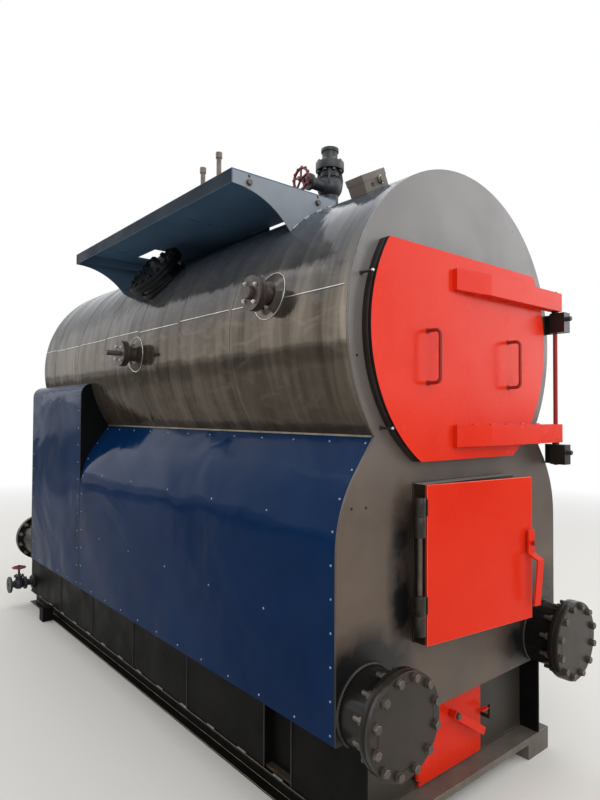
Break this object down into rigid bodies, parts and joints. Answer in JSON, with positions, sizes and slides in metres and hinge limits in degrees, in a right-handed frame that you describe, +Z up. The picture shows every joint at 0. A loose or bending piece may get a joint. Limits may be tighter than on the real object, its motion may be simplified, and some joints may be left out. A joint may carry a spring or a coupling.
{
  "type": "industrial boiler",
  "caption": "Packaged hand-fired boiler: clad drum with a front smokebox door over a waisted furnace casing with fire and ash doors, side headers, valves and a walkway.",
  "frame": {"origin": "on the ground, on the centreline, half way along the base", "axes": "+X to the right seen from the front, +Y from the front plate to the rear, +Z up"},
  "size_m": [1.5955, 4.0813, 3.195],
  "materials": {
    "blue_paint": "gloss",
    "red_paint": "gloss",
    "dark_red_paint": "satin",
    "plate_paint": "satin",
    "frame_paint": "satin",
    "header_paint": "satin",
    "navy_paint": "satin",
    "bracket_paint": "satin",
    "sill_steel": "matte",
    "jacket_steel": "polished",
    "bare_steel": "matte",
    "cast_grate": "matte",
    "valve_iron": "satin",
    "wheel_paint": "satin",
    "box_paint": "satin",
    "firebrick": "matte"
  },
  "bodies": {
    "boiler": {"skid_left": "frame_paint", "skid_right": "frame_paint", "front_sill": "sill_steel", "rear_sill": "frame_paint", "mid_cross_member": "frame_paint", "ash_pit_floor": "bare_steel", "base_wall_left": "frame_paint", "base_wall_right": "frame_paint", "ash_pit_front": "frame_paint", "ash_pit_back": "frame_paint", "grate": "cast_grate", "wall_lining_left": "firebrick", "wall_lining_right": "firebrick", "front_lining": "firebrick", "bridge_wall": "firebrick", "front_plate": "plate_paint", "side_cladding_left": "blue_paint", "side_cladding_right": "blue_paint", "rear_box_face": "frame_paint", "rear_box_cladding_left": "blue_paint", "rear_box_cladding_right": "blue_paint", "rear_plate": "frame_paint", "drum_shell": "bare_steel", "drum_cladding": "jacket_steel", "smokebox_shell": "bare_steel", "smokebox_cladding": "jacket_steel", "tube_sheet": "bare_steel", "fire_tubes": "bare_steel", "drum_rear_cover": "jacket_steel", "header_left": "header_paint", "header_right": "header_paint", "header_blinds": "header_paint", "smokebox_seat": "header_paint", "smokebox_hinge_brackets": "header_paint", "fire_door_frame": "header_paint", "ash_door_keeper": "header_paint", "walkway_deck": "navy_paint", "walkway_bracket_front": "bracket_paint", "walkway_bracket_rear": "navy_paint", "side_nozzles": "valve_iron", "manhole": "header_paint", "steam_valve": "valve_iron", "junction_box": "box_paint", "riser_pipes": "valve_iron", "blowdown_valve": "valve_iron", "flue_outlet": "frame_paint"},
    "smokebox_door": {"smokebox_door": "red_paint", "smokebox_door_lining": "firebrick", "smokebox_door_arms": "red_paint", "smokebox_hinge_rod": "dark_red_paint", "smokebox_door_handles": "dark_red_paint"},
    "fire_door": {"fire_door": "red_paint", "fire_door_knuckles": "header_paint", "fire_door_lining": "firebrick"},
    "fire_door_latch": {"fire_door_latch": "red_paint"},
    "ash_door": {"ash_door": "red_paint"},
    "ash_door_latch": {"ash_door_latch": "red_paint"},
    "steam_handwheel": {"steam_handwheel": "wheel_paint"},
    "blowdown_handwheel": {"blowdown_handwheel": "wheel_paint"}
  },
  "joints": [
    {"name": "smokebox_door_hinge", "type": "hinge", "parent": "boiler", "child": "smokebox_door", "pos_m": [0.625, -2, 1.75], "axis": [0, 0, 1], "range_deg": [0, 90]},
    {"name": "fire_door_hinge", "type": "hinge", "parent": "boiler", "child": "fire_door", "pos_m": [-0.356, -1.987, 1.03], "axis": [0, 0, -1], "range_deg": [-7, 100]},
    {"name": "fire_latch_pivot", "type": "hinge", "parent": "fire_door", "child": "fire_door_latch", "pos_m": [0.23878, -2.07444, 1.052], "axis": [0.1219, 0.9925, 0], "range_deg": [0, 60]},
    {"name": "ash_door_hinge", "type": "hinge", "parent": "boiler", "child": "ash_door", "pos_m": [-0.215, -1.8643, 0.25], "axis": [0, 0, -1], "range_deg": [0, 95]},
    {"name": "ash_latch_pivot", "type": "hinge", "parent": "ash_door", "child": "ash_door_latch", "pos_m": [0.005, -1.8546, 0.338], "axis": [0, 1, 0], "range_deg": [0, 50]},
    {"name": "steam_wheel_spindle", "type": "hinge", "parent": "boiler", "child": "steam_handwheel", "pos_m": [-0.196, -1.105, 2.761], "axis": [-1, 0, 0], "range_deg": [0, 720]},
    {"name": "blowdown_wheel_spindle", "type": "hinge", "parent": "boiler", "child": "blowdown_handwheel", "pos_m": [-0.699, 1.876, 0.316], "axis": [0, 0, 1], "range_deg": [0, 720]}
  ]
}
